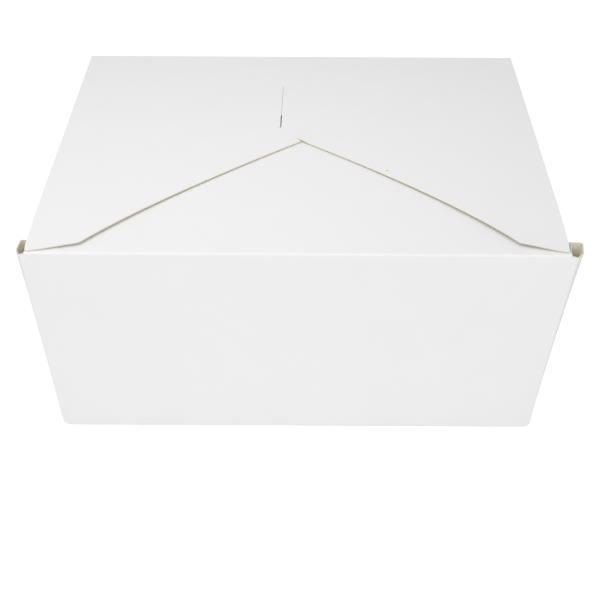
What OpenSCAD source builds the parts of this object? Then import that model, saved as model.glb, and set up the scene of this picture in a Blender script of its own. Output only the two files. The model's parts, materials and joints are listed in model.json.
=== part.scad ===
// Folded paperboard takeout box, closed. One sheet makes the tray, its corner gussets and the
// tucked flaps, and the rear flap is the lid, which swings on its crease at the rear rim.
// X runs along the front, the front faces -Y, and the origin is the centre of the base.

/* [Tray] */
// Width of the front wall at the rim
rim_w = 160; // [140:1:200]
// Depth from front wall to rear wall at the rim
rim_d = 140; // [130:1:170]
// Height of the corners, where the walls are cut
wall_h = 67; // [50:1:72]
// How far the front and rear walls lean out between base and rim
lean = 7; // [5.5:0.5:9]
// How far the side walls lean out between base and rim
side_lean = 4.8; // [3:0.1:5.5]
// Thickness of the board
board = 0.45; // [0.35:0.01:0.55]
// Outer radius of a creased fold
fold_r = 0.8; // [0.7:0.05:1.2]

/* [Corner ears] */
// How far the looped web at a front corner stands out past the end of the front wall
ear_out = 1.9; // [1:0.1:2.4]
// Distance from the front wall's face to the widest place of the loop
ear_mid = 4.5; // [3.5:0.1:6]

/* [Tucked flaps] */
// Gap left between two flaps that lie on each other
layer_gap = 0.15; // [0.1:0.05:0.4]
// Distance from the end of a tucked flap's fold to the rim corner
flap_inset = 3; // [2:0.5:6]
// Reach of each side flap over the food
side_flap_l = 48; // [35:1:60]
// How far a side flap narrows at each end
side_flap_taper = 9; // [4:1:16]
// Corner radius of the tucked flaps
flap_corner_r = 6; // [3:1:10]
// How far the front flap laps under the edge of the lid's notch
front_flap_lap = 10; // [6:1:14]
// Width of the tongue at the tip of the front flap
tongue_w = 24; // [16:1:34]
// How far the tongue reaches past the point of the notch
tongue_l = 26; // [20:1:36]

/* [Lid] */
// Distance from the lid's side edge to the rim corner
lid_inset = 2.3; // [1.5:0.1:4]
// Height of the closed lid's front edge above the line of its crease
lid_lift = 0.6; // [0.3:0.1:2]
// Gap between the lid and the front flap at the crease
lid_gap = 0.3; // [0.2:0.05:0.6]
// Running gap at the crease between the lid and the rear wall
crease_gap = 0.05; // [0.03:0.01:0.1]
// Width of the notch at its mouth
notch_w = 125; // [100:1:136]
// Depth of the notch from its mouth to its point
notch_d = 65; // [45:1:75]
// How far each side of the notch bows back at its middle
notch_bow = 3; // [0:0.5:5]
// Radius of the bend at each side of the notch's mouth
notch_bend_r = 4; // [2:0.5:12]
// Distance from the front edge to the mouth of the notch
mouth_setback = 5; // [4:0.5:10]
// Distance from the front edge to the tips of the lid's wings
tip_setback = 0.5; // [0.5:0.5:3]
// How far each wing narrows at its tip
wing_taper = 0.5; // [0.2:0.1:3]
// Length over which a wing narrows
wing_taper_l = 5; // [4:1:15]
// Corner radius of a wing tip
wing_tip_r = 0.8; // [0.5:0.1:1.5]

/* [Lock slit] */
// Distance of the slit from the middle of the lid
slit_x = 6.1; // [4:0.1:12]
// Distance from the point of the notch to the slit
slit_start = 9.5; // [8:0.5:16]
// Length of the slit
slit_l = 33.5; // [15:0.5:40]
// Width of the cut
slit_w = 0.35; // [0.2:0.05:0.6]
// Length of the nick at the point of the notch
nick_l = 4.4; // [2:0.1:7]

/* [Hidden] */

board_colour = "#f0f0ee";
arc_steps = 8;
corner_fn = 32;
embed = 2;
over = 1;
cap = 0.01;

// The walls lean from the top of the base fold up to the rim
tilt = atan(lean / (wall_h - fold_r));
side_tilt = atan(side_lean / (wall_h - fold_r));
base_w = rim_w - 2 * lean;
base_d = rim_d - 2 * lean;
wall_run = board / cos(tilt);
side_run = board / cos(side_tilt);

// Both layers of a gusset lie outside the side wall
gusset_run = 2 * side_run;
gusset_face = base_w / 2 + side_lean;
side_face = gusset_face - gusset_run;
slant = norm([lean, wall_h]);
flare = atan(lean / slant);
gusset_d = lean + slant * tan(45 - 2 * flare);

// At the rim the web's loop is an arc through the end of the front wall, ear_out past it at its widest
ear_step = lean - side_lean;
ear_sink = (ear_mid * ear_mid / ear_out - 2 * ear_step - ear_out) / 2;
ear_r = ear_step + ear_out + ear_sink;

// The flaps lie on each other in the order side, front, lid
side_top = wall_h + fold_r;
front_top = side_top + board + layer_gap;
crease_z = front_top + lid_gap + board / 2;
crease_y = rim_d / 2 + (crease_z - wall_h) * tan(tilt) - board / 2;
rear_wall_top = crease_z - board / 2 - crease_gap;

// Plan places of the lid
front_y = -rim_d / 2;
mouth_y = front_y + mouth_setback;
point_y = mouth_y + notch_d;
tip_y = front_y + tip_setback;
lid_half_w = rim_w / 2 - lid_inset;
notch_slope = atan2(notch_d, notch_w / 2);

function arc(centre, r, from, to) = [
  for (i = [0 : arc_steps])
    let (a = from + (to - from) * i / arc_steps)
    centre + r * [cos(a), sin(a)]
];

// One corner of an outline, rounded where its radius isn't zero
function rounded_corner(a, b, c, r) =
  r == 0 ? [b] :
  let (
    u = (a - b) / norm(a - b),
    v = (c - b) / norm(c - b),
    half = acos(u * v) / 2,
    centre = b + (u + v) / norm(u + v) * r / sin(half),
    p = b + u * r / tan(half) - centre,
    q = b + v * r / tan(half) - centre,
    from = atan2(p.y, p.x),
    sweep = (atan2(q.y, q.x) - from + 540) % 360 - 180
  )
  arc(centre, r, from, from + sweep);

// An outline from points [x, y, corner radius]
function outline(points) = [
  for (i = [0 : len(points) - 1])
    let (
      n = len(points),
      a = points[(i + n - 1) % n],
      b = points[i],
      c = points[(i + 1) % n]
    )
    each rounded_corner([a.x, a.y], [b.x, b.y], [c.x, c.y], b.z)
];

// The points with those of a mirrored copy after them, which closes a symmetrical outline
function with_mirrored(points, flip) = concat(points, [
  for (i = [len(points) - 1 : -1 : 0])
    [flip.x * points[i].x, flip.y * points[i].y, points[i].z]
]);

// A solid with a flat base, leaning walls and rounded folds. Inset_w and inset_d bring its walls in,
// and floor_z lifts its base.
module leaning_box(inset_w, inset_d, floor_z, r, top_z) {
  half_w = base_w / 2 - inset_w - r;
  half_d = base_d / 2 - inset_d - r;
  rise = top_z - fold_r;
  hull()
    for (sx = [-1, 1], sy = [-1, 1]) {
      translate([sx * half_w, sy * half_d, floor_z + r])
        rotate_extrude($fn = corner_fn)
          polygon(concat([[0, 0]], arc([0, 0], r, -90, 0)));
      translate([sx * (half_w + rise * tan(side_tilt)), sy * (half_d + rise * tan(tilt)), top_z])
        cylinder(h = cap, r = r, $fn = corner_fn);
    }
}

// What lies between the front and rear walls' faces, seen from the side, brought in by inset
module between_walls(inset) {
  foot = base_d / 2 - fold_r * tan(tilt) - inset;
  head = rim_d / 2 - inset;
  rotate([90, 0, 90])
    linear_extrude(rim_w + 2 * ear_r, center = true)
      polygon([[-foot, 0], [foot, 0], [head, wall_h], [-head, wall_h]]);
}

// What the four gussets cover, seen from the side, from the corners to their diagonal folds
module gusset_reach() {
  rotate([90, 0, 90])
    linear_extrude(rim_w + over, center = true)
      for (rear = [0, 1])
        mirror([rear, 0])
          polygon([
            [base_d / 2, 0],
            [rim_d / 2 - gusset_d, wall_h],
            [rim_d / 2 + over, wall_h],
            [rim_d / 2 + over, 0]
          ]);
}

// The cone of the looped web on a front corner, in the plane of the right side's gussets with x along
// the wall, y up the slope and z outwards. It starts at the base corner, skin takes that much off all
// round, and it reaches depth behind that plane.
module ear_cone(skin, depth) {
  side_slant = (wall_h - fold_r) / cos(side_tilt);
  axis = [ear_mid - lean, side_slant, -ear_sink];
  grow = ear_r / norm(axis);
  length = norm(axis) - skin / sin(atan(grow)) + over;
  intersection() {
    translate([-base_d / 2, 0, 0])
      rotate([0, acos(axis.z / norm(axis)), atan2(axis.y, axis.x)])
        translate([0, 0, norm(axis) + over - length])
          cylinder(h = length, r1 = 0, r2 = length * grow, $fn = corner_fn);
    translate([-rim_d / 2 - ear_r, 0, -depth])
      cube([rim_d / 2, side_slant + over, 2 * ear_r]);
  }
}

// The loops on the two front corners, cut off at the walls' faces brought in by inset
module ears(skin, depth, inset) {
  intersection() {
    for (sx = [0, 1])
      mirror([sx, 0, 0])
        translate([base_w / 2, 0, fold_r])
          rotate([0, side_tilt, 0])
            rotate([90, 0, 90])
              ear_cone(skin, depth);
    between_walls(inset);
  }
}

// Section of a wall's top that folds over into a flap of the given reach
module flap_section(face, slope, top, reach) {
  c = [face + (top - fold_r - wall_h) * tan(slope) - fold_r / cos(slope), top - fold_r];
  foot = face - embed * tan(slope);
  polygon(concat(
    [[foot, wall_h - embed]],
    arc(c, fold_r, -slope, 90),
    [[face - reach, top], [face - reach, top - board]],
    arc(c, fold_r - board, 90, -slope),
    [[foot - board / cos(slope), wall_h - embed]]
  ));
}

module side_flap() {
  half = rim_d / 2 - flap_inset;
  reach_x = side_face - side_flap_l;
  end = [
    [rim_w / 2, half, 0],
    [rim_w / 2 - embed, half, 0],
    [reach_x, half - side_flap_taper, flap_corner_r]
  ];
  intersection() {
    rotate([90, 0, 0])
      linear_extrude(rim_d, center = true)
        flap_section(side_face, side_tilt, side_top, side_flap_l);
    linear_extrude(side_top + over)
      polygon(outline(with_mirrored(end, [1, -1])));
  }
}

module front_flap() {
  half = rim_w / 2 - flap_inset;
  lap_y = front_flap_lap / cos(notch_slope);
  slope = tan(notch_slope);
  edge = point_y + lap_y;
  tongue = tongue_w / 2;
  side = [
    [half, front_y - over, 0],
    [half, edge - half * slope, flap_corner_r],
    [tongue, edge - tongue * slope, flap_corner_r / 2],
    [tongue - embed, point_y + tongue_l, flap_corner_r]
  ];
  intersection() {
    rotate([0, 0, -90])
      rotate([90, 0, 0])
        linear_extrude(rim_w, center = true)
          flap_section(rim_d / 2, tilt, front_top, rim_d / 2 + point_y + tongue_l);
    linear_extrude(front_top + over)
      polygon(outline(with_mirrored(side, [-1, 1])));
  }
}

// Top of the rear wall, up to the lid's crease
module rear_rim() {
  rise = (rear_wall_top - wall_h) * tan(tilt);
  foot = rim_d / 2 - embed * tan(tilt);
  rotate([90, 0, 90])
    linear_extrude(2 * lid_half_w, center = true)
      polygon([
        [foot, wall_h - embed],
        [rim_d / 2 + rise, rear_wall_top],
        [rim_d / 2 + rise - wall_run, rear_wall_top],
        [foot - wall_run, wall_h - embed]
      ]);
}

module folded_tray() {
  color(board_colour) {
    difference() {
      union() {
        leaning_box(gusset_run, 0, 0, fold_r, wall_h - cap);
        intersection() {
          leaning_box(0, 0, 0, fold_r, wall_h - cap);
          gusset_reach();
        }
        ears(0, fold_r, 0);
      }
      leaning_box(gusset_run + side_run, wall_run, board, fold_r - board, wall_h + over);
      ears(board, board, wall_run);
    }
    for (sx = [0, 1])
      mirror([sx, 0, 0])
        side_flap();
    front_flap();
    rear_rim();
  }
}

// One side of the notch between its mouth and its point, a shallow curve
function notch_side() = [
  for (i = [1 : arc_steps - 1])
    let (t = i / arc_steps)
    [notch_w / 2 * (1 - t), mouth_y + notch_d * t + 4 * notch_bow * t * (1 - t), 0]
];

module lid_plan() {
  half = concat([
    [lid_half_w, crease_y + over, 0],
    [lid_half_w, tip_y + wing_taper_l, 0],
    [lid_half_w - wing_taper, tip_y, wing_tip_r],
    [notch_w / 2, mouth_y, notch_bend_r]
  ], notch_side(), [[cap, point_y, 0]]);
  difference() {
    polygon(outline(with_mirrored(half, [-1, 1])));
    translate([-slit_x - slit_w / 2, point_y + slit_start])
      square([slit_w, slit_l]);
    translate([0, point_y])
      rotate(90 + notch_slope)
        translate([-over, -slit_w / 2])
          square([nick_l + over, slit_w]);
  }
}

module lid_flap() {
  length = crease_y - tip_y + over;
  color(board_colour)
    translate([0, crease_y, crease_z])
      rotate([-atan(lid_lift / rim_d), 0, 0])
        translate([0, -crease_y, -crease_z])
          intersection() {
            translate([0, crease_y, crease_z])
              rotate([90, 0, -90])
                linear_extrude(rim_w, center = true)
                  union() {
                    circle(d = board, $fn = corner_fn);
                    translate([0, -board / 2])
                      square([length, board]);
                  }
            linear_extrude(crease_z + over)
              lid_plan();
          }
}

folded_tray();
lid_flap();
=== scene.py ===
import json
import math
from collections import namedtuple

import bmesh
import bpy
import numpy as np
from mathutils import Matrix, Vector
from mathutils.geometry import delaunay_2d_cdt


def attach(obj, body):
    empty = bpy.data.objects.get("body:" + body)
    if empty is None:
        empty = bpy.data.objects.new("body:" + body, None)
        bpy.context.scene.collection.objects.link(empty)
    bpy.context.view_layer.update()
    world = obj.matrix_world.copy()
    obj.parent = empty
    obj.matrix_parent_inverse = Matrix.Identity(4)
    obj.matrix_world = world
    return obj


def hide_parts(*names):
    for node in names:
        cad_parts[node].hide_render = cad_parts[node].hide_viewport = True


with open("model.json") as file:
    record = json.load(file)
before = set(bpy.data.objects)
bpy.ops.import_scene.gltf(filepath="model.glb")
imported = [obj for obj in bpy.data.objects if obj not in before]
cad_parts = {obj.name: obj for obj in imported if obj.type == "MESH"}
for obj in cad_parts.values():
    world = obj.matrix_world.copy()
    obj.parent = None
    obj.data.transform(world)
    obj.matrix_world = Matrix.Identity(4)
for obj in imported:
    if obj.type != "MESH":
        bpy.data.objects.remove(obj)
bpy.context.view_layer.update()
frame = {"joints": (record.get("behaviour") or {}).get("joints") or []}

# A folded paperboard takeout box, closed. One die-cut sheet makes the tray with its corner gussets and
# tucked flaps, and the notched rear flap is the lid. Lengths are millimetres, turned to metres where they
# reach Blender. X runs along the front, and the front faces -Y.
MM = 0.001
LEFT, RIGHT = -1, 1
FRONT, REAR = -1, 1

# The board and its folds
BOARD = 0.45
FOLD_R = 0.8
PLY_GAP = 0.04
HALF = BOARD / 2
MID_R = FOLD_R - HALF
PLY = BOARD + PLY_GAP

# The tray's walls, whose folds on the left and right did not fall quite alike
WALL_H = 67
LEAN = 7.6
BASE_HALF_D = 62.4
BASE_HALF_W = {LEFT: 73.7, RIGHT: 72.7}
FRONT_RIM_HALF_W = {LEFT: 79.4, RIGHT: 79.5}
SIDE_RIM_HALF_W = 77.8
GUSSET_D = 51
TILT = math.atan(LEAN / (WALL_H - FOLD_R))
SIDE_TILT = math.radians(4.1)
FOOT_Z = FOLD_R - MID_R * math.sin(TILT)

# Where a wall's end bends into the corner web, and how the web gathers into the base corner, which is
# sharper on the right
REAR_END_LEAD = 1.0
SIDE_END_LEAD = 2.5
WEB_TURN = 0.8
GATHER_H = {LEFT: 2.0, RIGHT: 0.8}
GATHER_D = 1.6
GATHER_SHARES = (0, 0.04, 0.15, 0.35, 0.65, 1)
LEAST_LOOP = 0.03

# The tucked flaps. The front fold's radius is given at the wall and at the flap.
FLAP_CORNER_R = 6
SIDE_FLAP_HALF = 67
SIDE_FLAP_L = 47.3
SIDE_FLAP_TAPER = 9
FRONT_TOP = 68.4
FRONT_FLAP_HALF = 77.3
FOLD_END = {LEFT: 77.85, RIGHT: 77.5}
FRONT_FLAP_LAP = 14.4
FRONT_FLAP_RISE = 0.4
FRONT_FOLD_R = (0.6, 0.45)
TONGUE_DIP = 1.1
TONGUE_HALF = 12
TONGUE_TAPER = 2
TONGUE_L = 26

# The lid, from its crease to the tips of its wings
crease_y, crease_z = (v / MM for v in frame["joints"][0]["pos_m"][1:])
LID_LIFT = {LEFT: 0.6, RIGHT: 0.95}
LID_REAR = {LEFT: -77.5, RIGHT: 78.5}
POINT = np.array([0.85, -0.3])
NotchSide = namedtuple("NotchSide", "tip mouth bow")
NOTCH_SIDES = {
    LEFT: NotchSide((-77.9, -69.7), (-62.4, -66.0), (-43.9, -40.5)),
    RIGHT: NotchSide((77.3, -69.1), (63.0, -65.3), (45.1, -38.5)),
}
NOTCH_STEPS = 16
MOUTH_BEND_R = 3
WING_TAPER = 0.3
WING_TAPER_L = 4
WING_TIP_R = 0.8
TIP_DROP = {LEFT: 0.87, RIGHT: 1.17}
TIP_DROP_FROM = (60, -45)
TIP_DROP_RUN = (18, 25)

# The lock slit: a closed hairline, then an open stretch with a small hook at its end
SLIT_X = -6.1
SLIT_LEAN = 0.012
SLIT_TOP = 43.4
SLIT_OPENS = 19.1
SLIT_END = 9.4
SLIT_HAIR = 0.05
SLIT_GAP = 0.34
SLIT_HOOK = 1.0

# The nick at the notch's point, whose lips stand apart
NICK_L = 4.4
NICK_W = 0.3
LIP_SPREAD = {LEFT: -0.15, RIGHT: 0.3}

# A fleck in the lid's coat
FLECK_AT = (27.6, -21.6)
FLECK_R = 0.45
FLECK_CORE_R = 0.135

# How fine the meshes are. FILL_INSIDE is Blender's number for a fill that stays inside its outlines.
ARC_STEPS = 6
FRONT_FOLD_STEPS = 10
SIDE_FOLD_STEPS = 8
SUPPORT = 0.4
SHEET_STEP = 4.0
EDGE_CLEAR = 1.3
WALL_ROWS = 11
REAR_ROWS = 3
ACROSS_POINTS = 41
ALONG_POINTS = 37
FILL_INSIDE = 1
FILL_MERGE = 1e-6
WELD = 0.002
SHARP_ANGLE = math.radians(50)

# At a front corner the web springs into a boxy loop. Out is how far the loop stands past the wall's end,
# first at LOOP_SHOULDER and then at its back. Depth and landing are how far back its outer and inner
# ends reach. Spring is how far the inner ply stands off the side wall, at its front end and at its kink.
Loop = namedtuple("Loop", "front_out back_out depth landing front_spring back_spring")
LOOPS = {
    LEFT: Loop(1.1, 0.95, 9.9, 8.7, 0.4, 0.5),
    RIGHT: Loop(1.7, 2.7, 9.5, 9.6, 0.5, 1.6),
}
BULGE_POWER = 2
LOOP_SHOULDER = 3.0
SHOULDER_R = 4.0
LOOP_BACK_R = 0.9
LANDING_R = 0.5
KINK_BEFORE = 0.7
KINK_D = 0.8
KINK_R = 0.5

# The web's cut rim starts at the front fold and falls to the side wall's height behind the loop. RIM_FALL
# pairs runs along the web with the share of the rise that is left there.
RIM_RISE = 1.05
RIM_FALL = ((0, 2, 12), (1, 0.4, 0))
RIM_CUT_W = 0.06


# Lines and sheets

def rounded(corners, steps=ARC_STEPS, support=0.0):
    """A line through corners (x, y, radius). Each corner between the ends becomes an arc, whose radius
    gives way where a stretch is too short for it, and support adds a point that far beside each arc."""
    points = [np.array(c[:2], float) for c in corners]
    line = [points[0]]
    for a, b, c, corner in zip(points, points[1:], points[2:], corners[1:]):
        before, after = np.linalg.norm(a - b), np.linalg.norm(c - b)
        u, v = (a - b) / before, (c - b) / after
        half_angle = math.acos(max(-1.0, min(1.0, u @ v))) / 2
        cut = min(corner[2] / math.tan(half_angle), before / 2, after / 2)
        radius = cut * math.tan(half_angle)
        centre = b + (u + v) / np.linalg.norm(u + v) * radius / math.sin(half_angle)
        start, end = b + u * cut - centre, b + v * cut - centre
        first = math.atan2(start[1], start[0])
        sweep = (math.atan2(end[1], end[0]) - first + 3 * math.pi) % (2 * math.pi) - math.pi
        if support:
            line.append(b + u * (cut + min(support, (before / 2 - cut) / 2)))
        for i in range(steps + 1):
            angle = first + sweep * i / steps
            line.append(centre + radius * np.array([math.cos(angle), math.sin(angle)]))
        if support:
            line.append(b + v * (cut + min(support, (after / 2 - cut) / 2)))
    return line + [points[-1]]


def refined(line, step):
    """The same line with points added so that no stretch is longer than step."""
    fine = [line[0]]
    for a, b in zip(line, line[1:]):
        pieces = max(1, math.ceil(np.linalg.norm(b - a) / step))
        fine += [a + (b - a) * i / pieces for i in range(1, pieces + 1)]
    return fine


def smooth_step(value):
    t = min(1.0, max(0.0, value))
    return t * t * (3 - 2 * t)


def lay_grid(sheet, rows):
    """Adds rows of points to a sheet as a grid of faces."""
    verts = [[sheet.verts.new(p) for p in row] for row in rows]
    for low, high in zip(verts, verts[1:]):
        for i in range(len(low) - 1):
            sheet.faces.new((low[i], low[i + 1], high[i + 1], high[i]))


# Edge profiles as (inwards, height) from the outer face to the inner one. The knife leaves the outer
# rim of a cut a little rounded, and at the crease the board turns over in a half round.
CUT_ROUND = 0.11
BACK_ROUND = 0.04


def round_edge(radius, centre, angles):
    """Points of a rounded edge, at angles in degrees from level."""
    turns = [math.radians(a) for a in angles]
    return [(radius * (1 - math.cos(a)), centre + radius * math.sin(a)) for a in turns]


CUT_PROFILE = round_edge(CUT_ROUND, HALF - CUT_ROUND, (90, 45, 0))
CUT_PROFILE += round_edge(BACK_ROUND, BACK_ROUND - HALF, (0, -45, -90))
CREASE_PROFILE = round_edge(HALF, 0, (90, 54, 18, -18, -54, -90))
OUTSIDE, INSIDE, RAW_EDGE = range(3)
CUT_FINISH = (OUTSIDE, RAW_EDGE, RAW_EDGE, RAW_EDGE, INSIDE)
CREASE_FINISH = (OUTSIDE, OUTSIDE, OUTSIDE, INSIDE, INSIDE)


def outward_directions(sheet):
    """For each vertex on the sheet's border, the way out of the sheet, in its own surface."""
    ways = {}
    for edge in sheet.edges:
        if edge.is_boundary:
            loop = edge.link_loops[0]
            a, b = loop.vert, loop.link_loop_next.vert
            for v in (a, b):
                way = (b.co - a.co).normalized().cross(v.normal)
                ways[v] = ways[v] + way if v in ways else way
    return {v: way.normalized() for v, way in ways.items()}


def board_mesh(name, sheet, at_crease):
    """Gives a folded middle surface the board's thickness and its edges, as one closed mesh."""
    sheet.normal_update()
    ways = outward_directions(sheet)
    solid = bmesh.new()
    rings = {}
    for v in sheet.verts:
        profile = [(0, HALF), (0, -HALF)]
        way = v.normal
        if v in ways:
            profile = CREASE_PROFILE if at_crease(v.co) else CUT_PROFILE
            way = ways[v]
        rings[v] = [solid.verts.new((v.co + v.normal * h - way * d) * MM) for d, h in profile]
    for face in sheet.faces:
        solid.faces.new([rings[v][0] for v in face.verts]).material_index = OUTSIDE
        solid.faces.new([rings[v][-1] for v in reversed(face.verts)]).material_index = INSIDE
    rims = []
    for edge in sheet.edges:
        if edge.is_boundary:
            loop = edge.link_loops[0]
            b, a = loop.vert, loop.link_loop_next.vert
            finishes = CREASE_FINISH if at_crease(a.co) and at_crease(b.co) else CUT_FINISH
            for i, finish in enumerate(finishes):
                quad = (rings[a][i], rings[b][i], rings[b][i + 1], rings[a][i + 1])
                solid.faces.new(quad).material_index = finish
            rims += [solid.edges.get((rings[a][i], rings[b][i])) for i in (0, -1)]
    solid.normal_update()
    for face in solid.faces:
        face.smooth = True
    for edge in solid.edges:
        edge.smooth = edge.calc_face_angle() < SHARP_ANGLE
    for edge in rims:
        edge.smooth = False
    mesh = bpy.data.meshes.new(name)
    solid.to_mesh(mesh)
    solid.free()
    sheet.free()
    return mesh


# The tray's middle surface, from half depths and half widths at a height z

def share(z):
    """How far up the walls a height is: 0 at the base fold, 1 at the rim."""
    return (z - FOLD_R) / (WALL_H - FOLD_R)


def front_face(z):
    return BASE_HALF_D + LEAN * share(z)


def front_end(z, side):
    return BASE_HALF_W[side] + (FRONT_RIM_HALF_W[side] - BASE_HALF_W[side]) * share(z)


def front_middle(z):
    return front_face(z) - HALF / math.cos(TILT)


def gusset_middle(z, side):
    half_w = BASE_HALF_W[side] + (SIDE_RIM_HALF_W - BASE_HALF_W[side]) * share(z)
    return half_w - HALF / math.cos(SIDE_TILT)


def side_middle(z, side):
    return gusset_middle(z, side) - 2 * PLY


def spread(halves, shares):
    """Places across the box, from shares of its half width on either side."""
    return [s * halves[RIGHT if s > 0 else LEFT] for s in shares]


# The flat of the base, between its folds
FLAT_HALF_W = {side: side_middle(FOOT_Z, side) - MID_R * math.cos(TILT) for side in (LEFT, RIGHT)}
FLAT_HALF_D = front_middle(FOOT_Z) - MID_R * math.cos(TILT)


def front_fold_section():
    """The front fold in section, as (y, z) from the wall's top. It turns a little tighter at the flap."""
    turn = math.pi / 2 + TILT
    section = [np.zeros(2)]
    for i in range(FRONT_FOLD_STEPS):
        t = (i + 0.5) / FRONT_FOLD_STEPS
        radius = FRONT_FOLD_R[0] + (FRONT_FOLD_R[1] - FRONT_FOLD_R[0]) * t - HALF
        way = np.array([math.sin(turn * t - TILT), math.cos(turn * t - TILT)])
        section.append(section[-1] + radius * turn / FRONT_FOLD_STEPS * way)
    return section


FRONT_FOLD = front_fold_section()
FOLD_START_Z = FRONT_TOP - HALF - FRONT_FOLD[-1][1]


def corner_line(z, side, loop):
    """The web in plan at height z, as (x, depth) from the end of the front or rear wall to the side wall:
    out round its loop if it has one, along the side, round the diagonal fold, back, and into the side
    wall."""
    climb = (z - FOOT_Z) / (WALL_H - FOOT_Z)
    grow = max(climb, LEAST_LOOP)
    depth, wall = front_face(z), front_middle(z)
    outer, inner, last = (gusset_middle(z, side) - PLY * i for i in range(3))
    fold = BASE_HALF_D - (GUSSET_D - LEAN) * z / WALL_H + HALF - GATHER_D * (1 - climb)
    turn = depth - WEB_TURN
    if loop:
        end = front_end(z, side)
        bulge = grow ** BULGE_POWER
        kink = depth - (loop.landing - KINK_BEFORE) * grow
        way_out = [
            (end - FRONT_RIM_HALF_W[side] + FOLD_END[side], wall, 0),
            (end - HALF, wall, MID_R),
            (end + loop.front_out * bulge, depth - LOOP_SHOULDER * grow, SHOULDER_R * grow),
            (end + loop.back_out * bulge, depth - loop.depth * grow, LOOP_BACK_R * grow),
            (outer, depth - loop.landing * grow, LANDING_R * grow),
        ]
        way_back = [
            (inner, kink - KINK_D * grow, KINK_R * grow),
            (inner + loop.back_spring * grow, kink, KINK_R * grow),
            (inner + loop.front_spring * grow, turn, PLY / 2),
        ]
    else:
        way_out = [(outer + HALF - REAR_END_LEAD, wall, 0), (outer, wall, MID_R)]
        way_back = [(inner, turn, PLY / 2)]
    line = rounded(way_out + [
        (outer, fold, PLY / 2),
        (inner, fold, PLY / 2),
    ] + way_back + [
        (last, turn, PLY / 2),
        (last, depth - SIDE_END_LEAD, 0),
    ], support=SUPPORT)
    gather = math.sqrt(1 - (1 - min(1.0, (z - FOOT_Z) / GATHER_H[side])) ** 2)
    root = np.array([last, wall])
    return [root + (p - root) * gather for p in line]


def front_corner_row(side, z, front_z):
    """One row of a front corner's web, from the front wall's height to the side wall's."""
    line = corner_line(z, side, LOOPS[side])
    front_line = corner_line(front_z, side, LOOPS[side])
    run = np.cumsum([0] + [np.linalg.norm(b - a) for a, b in zip(line, line[1:])])
    row = []
    for p, q, fall in zip(line, front_line, np.interp(run, *RIM_FALL)):
        x, depth = p + (q - p) * fall
        row.append([side * x, -depth, z + (front_z - z) * fall])
    return row


def tray_sheet():
    """The middle surface of base, walls, corner webs and tucked flaps, as one sheet."""
    sheet = bmesh.new()
    across = np.linspace(-1, 1, ACROSS_POINTS)
    along = np.linspace(-1, 1, ALONG_POINTS)
    lay_grid(sheet, [
        [(x, r * FLAT_HALF_D, HALF) for x in spread(FLAT_HALF_W, across)] for r in along
    ])
    base_fold = []
    for a in np.linspace(math.pi / 2, TILT, ARC_STEPS + 1):
        base_fold.append((MID_R * math.cos(a), FOLD_R - MID_R * math.sin(a)))
    wall_foot = [FOOT_Z + max(GATHER_H.values()) * u for u in GATHER_SHARES]
    wall_foot += list(np.linspace(wall_foot[-1], WALL_H - SUPPORT, WALL_ROWS + 1)[1:])
    levels = wall_foot + [WALL_H - SUPPORT / 2, WALL_H]
    front_levels = wall_foot + [FOLD_START_Z, WALL_H + RIM_RISE]

    def base_fold_row(reach, z, end):
        halves = {side: half + reach for side, half in FLAT_HALF_W.items()}
        return [(x, end * (FLAT_HALF_D + reach), z) for x in spread(halves, across)]

    def wall_row(z, end, loops):
        halves = {side: corner_line(z, side, loops.get(side))[0][0] for side in (LEFT, RIGHT)}
        return [(x, end * front_middle(z), z) for x in spread(halves, across)]

    front = [base_fold_row(reach, z, FRONT) for reach, z in base_fold]
    front += [wall_row(z, FRONT, LOOPS) for z in front_levels[:-1]]
    rear = [base_fold_row(reach, z, REAR) for reach, z in base_fold]
    rear += [wall_row(z, REAR, {}) for z in levels]
    lay_grid(sheet, front + front_flap_rows(across))
    lay_grid(sheet, rear + rear_rim_rows(across))
    for side in (LEFT, RIGHT):
        rows = []
        for reach, z in base_fold:
            x = side * (FLAT_HALF_W[side] + reach)
            rows.append([(x, r * (FLAT_HALF_D + reach), z) for r in along])
        for z in levels:
            half_d = corner_line(z, side, None)[-1][1]
            rows.append([(side * side_middle(z, side), r * half_d, z) for r in along])
        lay_grid(sheet, rows + side_flap_rows(side, along))
        lay_grid(sheet, [
            [(side * x, depth, z) for x, depth in corner_line(z, side, None)] for z in levels
        ])
        web = [front_corner_row(side, z, front_z) for z, front_z in zip(levels, front_levels)]
        web[-1][0][0] += side * RIM_CUT_W
        lay_grid(sheet, web)
    bmesh.ops.remove_doubles(sheet, verts=sheet.verts, dist=WELD)
    bmesh.ops.recalc_face_normals(sheet, faces=sheet.faces)
    base_face = min(sheet.faces, key=lambda f: f.calc_center_median().length)
    if base_face.normal.z > 0:
        bmesh.ops.reverse_faces(sheet, faces=sheet.faces)
    return sheet


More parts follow.
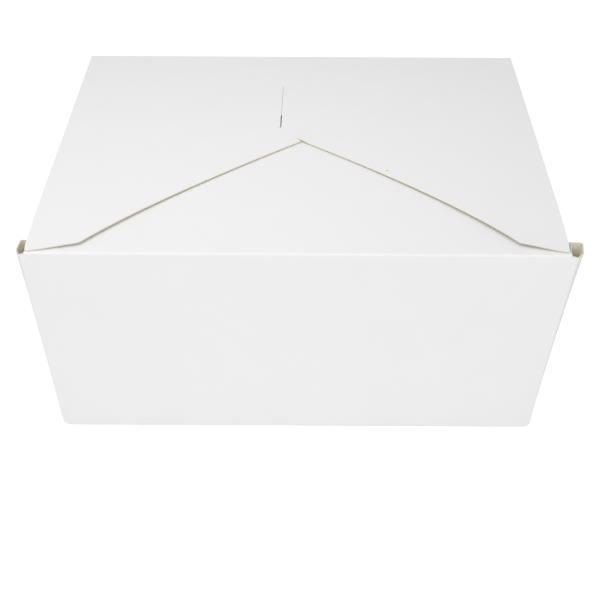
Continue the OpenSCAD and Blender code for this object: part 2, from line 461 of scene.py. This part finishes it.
def front_flap_rows(across):
    """The front wall's fold and its flap, which arches up a little to the notch's point, and whose tongue
    dips behind it under the lid."""
    wall_y = -front_middle(FOLD_START_Z)
    rows = []
    for y, z in FRONT_FOLD[1:]:
        rows.append([(x, wall_y + y, FOLD_START_Z + z) for x in spread(FOLD_END, across)])
    flap_y = wall_y + FRONT_FOLD[-1][0]
    mouth = NOTCH_SIDES[RIGHT].mouth
    slope = (POINT[1] - mouth[1]) / mouth[0]
    edge = POINT[1] + FRONT_FLAP_LAP
    tip = TONGUE_HALF - TONGUE_TAPER
    half_outline = refined(rounded([
        (FRONT_FLAP_HALF, flap_y, 0),
        (FRONT_FLAP_HALF, edge - FRONT_FLAP_HALF * slope, FLAP_CORNER_R),
        (TONGUE_HALF, edge - TONGUE_HALF * slope, FLAP_CORNER_R / 2),
        (tip, POINT[1] + TONGUE_L, FLAP_CORNER_R),
        (0, POINT[1] + TONGUE_L, 0),
    ], support=SUPPORT), SHEET_STEP)
    for half_w, y in half_outline[1:]:
        if half_w > tip - FLAP_CORNER_R - WELD:
            t = min(1.0, (y - flap_y) / (POINT[1] - flap_y))
            z = FRONT_TOP - HALF + FRONT_FLAP_RISE * t * (2 - t)
            z -= TONGUE_DIP * smooth_step((y - POINT[1]) / TONGUE_L)
            rows.append([(s * half_w, y, z) for s in across])
    return rows


def rear_rim_rows(across):
    """The rear wall's top, up to the lid's crease."""
    ends = {side: corner_line(WALL_H, side, None)[0][0] for side in (LEFT, RIGHT)}
    rows = []
    for i in range(1, REAR_ROWS + 1):
        t = i / REAR_ROWS
        z = WALL_H + (crease_z - WALL_H) * t
        y = crease_y + (z - crease_z) * math.tan(TILT)
        halves = {side: end + (abs(LID_REAR[side]) - end) * t for side, end in ends.items()}
        rows.append([(x, y, z) for x in spread(halves, across)])
    return rows


def side_flap_rows(side, along):
    """A side wall's fold and its flap, which lies under the front flap."""
    end_d = front_face(WALL_H) - SIDE_END_LEAD
    centre_x = side_middle(WALL_H, side) - MID_R * math.cos(SIDE_TILT)
    centre_z = WALL_H + MID_R * math.sin(SIDE_TILT)
    rows = []
    for i in range(1, SIDE_FOLD_STEPS + 1):
        a = -SIDE_TILT + (math.pi / 2 + SIDE_TILT) * i / SIDE_FOLD_STEPS
        half_d = end_d + (SIDE_FLAP_HALF - end_d) * i / SIDE_FOLD_STEPS
        x, z = centre_x + MID_R * math.cos(a), centre_z + MID_R * math.sin(a)
        rows.append([(side * x, r * half_d, z) for r in along])
    half_outline = refined(rounded([
        (SIDE_FLAP_HALF, 0, 0),
        (SIDE_FLAP_HALF, SUPPORT, 0),
        (SIDE_FLAP_HALF - SIDE_FLAP_TAPER, SIDE_FLAP_L, FLAP_CORNER_R),
        (0, SIDE_FLAP_L, 0),
    ]), SHEET_STEP)
    for half_d, run in half_outline[1:]:
        if run < SIDE_FLAP_L - WELD:
            rows.append([(side * (centre_x - run), r * half_d, centre_z + MID_R) for r in along])
    return rows


# The lid's middle surface

def lid_height(x, y):
    """The lid rises a little to the front, and its wings come down to the front flap at their tips."""
    lift = np.interp(x, list(LID_REAR.values()), list(LID_LIFT.values()))
    rise = lift * max(0.0, crease_y - y) / (2 * crease_y)
    sideways = smooth_step((abs(x) - TIP_DROP_FROM[0]) / TIP_DROP_RUN[0])
    forwards = smooth_step((TIP_DROP_FROM[1] - y) / TIP_DROP_RUN[1])
    return crease_z + rise - TIP_DROP[RIGHT if x > 0 else LEFT] * sideways * forwards


def lid_edge(side):
    """The lid's edge on one side: from the crease round the wing's tip and along the notch to its point."""
    notch = NOTCH_SIDES[side]
    mouth, bow = np.array(notch.mouth), np.array(notch.bow)
    curve = []
    for i in range(NOTCH_STEPS):
        t = (i + 1) / NOTCH_STEPS
        curve.append(mouth * (1 - t) ** 2 + bow * 2 * t * (1 - t) + POINT * t ** 2)
    return rounded([
        (LID_REAR[side], crease_y + HALF, 0),
        (notch.tip[0], notch.tip[1] + WING_TAPER_L, WING_TAPER_L),
        (notch.tip[0] - side * WING_TAPER, notch.tip[1], WING_TIP_R),
        (*notch.mouth, MOUTH_BEND_R),
        (*curve[0], 0),
    ]) + curve[1:]


def lock_slit():
    """The slit's outline, down its left lip and up its right one."""
    hair, gap = SLIT_HAIR / 2, SLIT_GAP / 2
    line = [np.array([SLIT_X + SLIT_LEAN * (y - SLIT_OPENS) + x, y]) for x, y in (
        (-hair, SLIT_TOP), (-hair, SLIT_OPENS), (-gap, SLIT_OPENS - gap), (-gap, SLIT_END + gap),
        (-SLIT_HOOK, SLIT_END + hair), (-SLIT_HOOK, SLIT_END - hair), (gap, SLIT_END - hair),
        (gap, SLIT_OPENS - gap), (hair, SLIT_OPENS), (hair, SLIT_TOP), (-hair, SLIT_TOP),
    )]
    return refined(line, SHEET_STEP)[:-1]


def points_between(points, rings):
    """A grid of points over the lid that keeps clear of its outlines."""
    starts = np.array(points)
    ways = np.array([points[i] for ring in rings for i in ring[1:] + ring[:1]]) - starts
    grid = []
    for y in np.arange(-crease_y, crease_y, SHEET_STEP):
        for x in np.arange(*LID_REAR.values(), SHEET_STEP):
            off = np.array([x, y]) - starts
            t = np.clip((off * ways).sum(1) / (ways * ways).sum(1), 0, 1)
            if np.linalg.norm(off - ways * t[:, None], axis=1).min() > EDGE_CLEAR:
                grid.append(np.array([x, y]))
    return grid


def lid_sheet():
    """The lid's outline with its notch, nick and slit, filled with triangles and bent to its shape."""
    right, left = lid_edge(RIGHT), list(reversed(lid_edge(LEFT)))
    nick_way = (right[-1] - right[-2]) / np.linalg.norm(right[-1] - right[-2])
    left[0] = POINT + (left[1] - POINT) * NICK_W / np.linalg.norm(left[1] - POINT)
    border = refined(right + [POINT + NICK_L * nick_way] + left, SHEET_STEP)
    border += refined([left[-1], right[0]], SHEET_STEP)[1:-1]
    points = list(reversed(border)) + lock_slit()
    rings = [list(range(len(border))), list(range(len(border), len(points)))]
    border_ring, slit_ring = range(2)
    points += points_between(points, rings)
    verts, _, faces, _, _, sources = delaunay_2d_cdt(
        [tuple(p) for p in points], [], rings, FILL_INSIDE, FILL_MERGE)
    sheet = bmesh.new()
    made = [sheet.verts.new((x, y, lid_height(x, y))) for x, y in verts]
    for side, lip in ((LEFT, left[0]), (RIGHT, POINT)):
        nearest = min(made, key=lambda v: np.linalg.norm(np.array(v.co[:2]) - lip))
        nearest.co.z += LIP_SPREAD[side]
    for face, source in zip(faces, sources):
        if border_ring in source and slit_ring not in source:
            sheet.faces.new([made[i] for i in face])
    for v in [v for v in sheet.verts if not v.link_faces]:
        sheet.verts.remove(v)
    sheet.normal_update()
    if next(iter(sheet.faces)).normal.z < 0:
        bmesh.ops.reverse_faces(sheet, faces=sheet.faces)
    return sheet


# Materials, with the widths and heights of their patterns
PULP_CLOUD = 14
COAT_TOOTH = 0.55
COAT_TOOTH_H = 0.004
FILM_CLOUD = 11
FILM_DIMPLE = 0.9
FILM_DIMPLE_H = 0.006
FIBRE = 0.25
FIBRE_H = 0.02


def linear(colour):
    """A colour written as sRGB hex, in linear values."""
    channels = [int(colour[i:i + 2], 16) / 255 for i in (1, 3, 5)]
    return [c / 12.92 if c <= 0.04045 else ((c + 0.055) / 1.055) ** 2.4 for c in channels] + [1.0]


def add(tree, kind, inputs=None, **settings):
    """Adds a node with its settings, and sets or links its inputs."""
    made = tree.nodes.new(kind)
    for name, value in settings.items():
        setattr(made, name, value)
    for socket, value in (inputs or {}).items():
        if isinstance(value, bpy.types.NodeSocket):
            tree.links.new(value, made.inputs[socket])
        else:
            made.inputs[socket].default_value = value
    return made


def per_metre(size_mm):
    """A texture scale that gives features of that size."""
    return 1 / (size_mm * MM)


def new_material(name):
    material = bpy.data.materials.new(name)
    material.use_nodes = True
    material.node_tree.nodes.clear()
    return material, material.node_tree


def clay_coated_board(name, flecks=()):
    """Bleached board with a calendered clay coat: a matt, even white with a faint cloudiness from the
    pulp, a very fine tooth and here and there a dark fleck. The tooth is drawn at about half a
    millimetre, coarser than it is, so it shows."""
    material, tree = new_material(name)
    place = add(tree, "ShaderNodeTexCoord").outputs["Object"]
    cloud = add(tree, "ShaderNodeTexNoise",
                {"Vector": place, "Scale": per_metre(PULP_CLOUD), "Detail": 3, "Roughness": 0.55})
    tooth = add(tree, "ShaderNodeTexNoise",
                {"Vector": place, "Scale": per_metre(COAT_TOOTH), "Detail": 2, "Roughness": 0.6})
    colour = add(tree, "ShaderNodeMix", {
        "Factor": cloud.outputs["Fac"], "A": linear("#efefef"), "B": linear("#f2f2f2"),
    }, data_type="RGBA").outputs["Result"]
    for fleck in flecks:
        away = add(tree, "ShaderNodeVectorMath", {0: place, 1: [v * MM for v in fleck]},
                   operation="DISTANCE")
        fade = add(tree, "ShaderNodeMapRange", {
            "Value": away.outputs["Value"], "From Min": FLECK_R * MM, "From Max": FLECK_CORE_R * MM,
        }, interpolation_type="SMOOTHSTEP")
        colour = add(tree, "ShaderNodeMix", {
            "Factor": fade.outputs["Result"], "A": colour, "B": linear("#a9a49a"),
        }, data_type="RGBA").outputs["Result"]
    rough = add(tree, "ShaderNodeMapRange", {
        "Value": cloud.outputs["Fac"], "To Min": 0.58, "To Max": 0.68,
    })
    bump = add(tree, "ShaderNodeBump", {
        "Height": tooth.outputs["Fac"], "Distance": COAT_TOOTH_H * MM, "Strength": 0.5,
    })
    shader = add(tree, "ShaderNodeBsdfPrincipled", {
        "Base Color": colour, "Roughness": rough.outputs["Result"], "IOR": 1.5,
        "Normal": bump.outputs["Normal"],
    })
    add(tree, "ShaderNodeOutputMaterial", {"Surface": shader.outputs["BSDF"]})
    return material


def film_lined_board():
    """The food side of the board under a thin pressed film: a warmer white with a soft shine, whose film
    follows the fibres in low dimples."""
    material, tree = new_material("film_lined_board")
    place = add(tree, "ShaderNodeTexCoord").outputs["Object"]
    cloud = add(tree, "ShaderNodeTexNoise",
                {"Vector": place, "Scale": per_metre(FILM_CLOUD), "Detail": 3, "Roughness": 0.55})
    dimples = add(tree, "ShaderNodeTexNoise",
                  {"Vector": place, "Scale": per_metre(FILM_DIMPLE), "Detail": 2, "Roughness": 0.5})
    colour = add(tree, "ShaderNodeMix", {
        "Factor": cloud.outputs["Fac"], "A": linear("#eee9da"), "B": linear("#f3efe2"),
    }, data_type="RGBA")
    rough = add(tree, "ShaderNodeMapRange", {
        "Value": cloud.outputs["Fac"], "To Min": 0.38, "To Max": 0.5,
    })
    bump = add(tree, "ShaderNodeBump", {
        "Height": dimples.outputs["Fac"], "Distance": FILM_DIMPLE_H * MM, "Strength": 0.5,
    })
    shader = add(tree, "ShaderNodeBsdfPrincipled", {
        "Base Color": colour.outputs["Result"], "Roughness": rough.outputs["Result"], "IOR": 1.5,
        "Normal": bump.outputs["Normal"],
    })
    add(tree, "ShaderNodeOutputMaterial", {"Surface": shader.outputs["BSDF"]})
    return material


def raw_pulp_edge():
    """Board cut by a steel rule: dry, beige and fibrous, with no coat. Its fibres are drawn at a quarter
    of a millimetre, coarser than they are, so they show."""
    material, tree = new_material("raw_pulp_edge")
    place = add(tree, "ShaderNodeTexCoord").outputs["Object"]
    fibres = add(tree, "ShaderNodeTexNoise",
                 {"Vector": place, "Scale": per_metre(FIBRE), "Detail": 3, "Roughness": 0.6})
    colour = add(tree, "ShaderNodeMix", {
        "Factor": fibres.outputs["Fac"], "A": linear("#ddd6c7"), "B": linear("#eae5d9"),
    }, data_type="RGBA")
    bump = add(tree, "ShaderNodeBump", {
        "Height": fibres.outputs["Fac"], "Distance": FIBRE_H * MM, "Strength": 0.6,
    })
    shader = add(tree, "ShaderNodeBsdfPrincipled", {
        "Base Color": colour.outputs["Result"], "Roughness": 0.92, "IOR": 1.45,
        "Normal": bump.outputs["Normal"],
    })
    add(tree, "ShaderNodeOutputMaterial", {"Surface": shader.outputs["BSDF"]})
    return material


# The two pieces of the box
film_side, cut_side = film_lined_board(), raw_pulp_edge()
lid_fleck = (*FLECK_AT, lid_height(*FLECK_AT) + HALF)


def nowhere(place):
    return False


def at_lid_crease(place):
    return place.y > crease_y + HALF / 2


def board_piece(name, sheet, at_crease, coat, body, node):
    """Makes one sheet's piece. Its body carries it, and it takes the place of its CAD node."""
    mesh = board_mesh(name, sheet, at_crease)
    for material in (coat, film_side, cut_side):
        mesh.materials.append(material)
    piece = bpy.data.objects.new(name, mesh)
    bpy.context.scene.collection.objects.link(piece)
    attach(piece, body)
    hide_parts(node)


board_piece("tray_sheet", tray_sheet(), nowhere,
            clay_coated_board("clay_coated_board"), "tray", "folded_tray")
board_piece("lid_sheet", lid_sheet(), at_lid_crease,
            clay_coated_board("clay_coated_lid_board", [lid_fleck]), "lid", "lid_flap")


# Floor, light and camera
FLOOR_HALF = 6000
FLOOR_DROP = 0.05
FLOOR_GLOW = 0.5
STUDIO_LEVEL = 0.56
WHITE = 1.0


def shows_background(tree):
    """1 for rays that show the background: the camera's own, and those by way of gloss or glass."""
    rays = add(tree, "ShaderNodeLightPath").outputs
    shown = rays["Is Camera Ray"]
    for ray in ("Is Glossy Ray", "Is Transmission Ray"):
        either = add(tree, "ShaderNodeMath", {0: shown, 1: rays[ray]}, operation="MAXIMUM")
        shown = either.outputs["Value"]
    return shown


def white_floor():
    """A matt pale floor that the camera sees as white, with the box's shadow left on it."""
    material, tree = new_material("pale_floor")
    matt = add(tree, "ShaderNodeBsdfDiffuse", {"Color": linear("#f2f2f2")})
    lift = add(tree, "ShaderNodeEmission", {"Color": linear("#ffffff"), "Strength": FLOOR_GLOW})
    dark = add(tree, "ShaderNodeEmission", {"Strength": 0.0})
    seen = add(tree, "ShaderNodeMixShader",
               {"Fac": shows_background(tree), 1: dark.outputs["Emission"], 2: lift.outputs["Emission"]})
    both = add(tree, "ShaderNodeAddShader",
               {0: matt.outputs["BSDF"], 1: seen.outputs["Shader"]})
    add(tree, "ShaderNodeOutputMaterial", {"Surface": both.outputs["Shader"]})
    return material


floor_mesh = bpy.data.meshes.new("floor")
floor_mesh.from_pydata([
    (x * FLOOR_HALF * MM, y * FLOOR_HALF * MM, -FLOOR_DROP * MM)
    for x, y in ((-1, -1), (1, -1), (1, 1), (-1, 1))
], [], [(0, 1, 2, 3)])
floor_mesh.materials.append(white_floor())
floor = bpy.data.objects.new("floor", floor_mesh)
bpy.context.scene.collection.objects.link(floor)


def soft_lamp(name, place, target, size, watts):
    """A round softbox that faces its target."""
    light = bpy.data.lights.new(name, "AREA")
    light.shape = "DISK"
    light.size = size * MM
    light.energy = watts
    lamp = bpy.data.objects.new(name, light)
    bpy.context.scene.collection.objects.link(lamp)
    lamp.location = Vector(place) * MM
    lamp.rotation_euler = (Vector(target) - Vector(place)).to_track_quat("-Z", "Y").to_euler()


soft_lamp("top_softbox", place=(-50, -60, 300), target=(-10, -50, 70), size=300, watts=0.26)
soft_lamp("front_fill", place=(30, -1200, 450), target=(0, 0, 50), size=800, watts=4.58)

world = bpy.data.worlds.new("studio")
bpy.context.scene.world = world
world.use_nodes = True
world.node_tree.nodes.clear()
level = add(world.node_tree, "ShaderNodeMix",
            {"Factor": shows_background(world.node_tree), "A": STUDIO_LEVEL, "B": WHITE})
sky = add(world.node_tree, "ShaderNodeBackground",
          {"Color": linear("#ffffff"), "Strength": level.outputs["Result"]})
add(world.node_tree, "ShaderNodeOutputWorld", {"Surface": sky.outputs["Background"]})

# The camera stands where a pinhole fitted to the box's corners in the photograph does
FOCAL_PX = 1302.16
IMAGE_PX = 600
CAMERA_AT = (0.51, -384.66, 259.59)
CAMERA_PITCH = 33.306
CAMERA_ROLL = 0.303
NEAR_CLIP = 10
camera_data = bpy.data.cameras.new("camera")
camera_data.lens = camera_data.sensor_width * FOCAL_PX / IMAGE_PX
camera_data.clip_start = NEAR_CLIP * MM
camera = bpy.data.objects.new("camera", camera_data)
bpy.context.scene.collection.objects.link(camera)
camera.matrix_world = (
    Matrix.Translation([v * MM for v in CAMERA_AT])
    @ Matrix.Rotation(math.radians(90 - CAMERA_PITCH), 4, "X")
    @ Matrix.Rotation(math.radians(CAMERA_ROLL), 4, "Z")
)
bpy.context.scene.camera = camera
bpy.context.scene.view_settings.view_transform = "Standard"
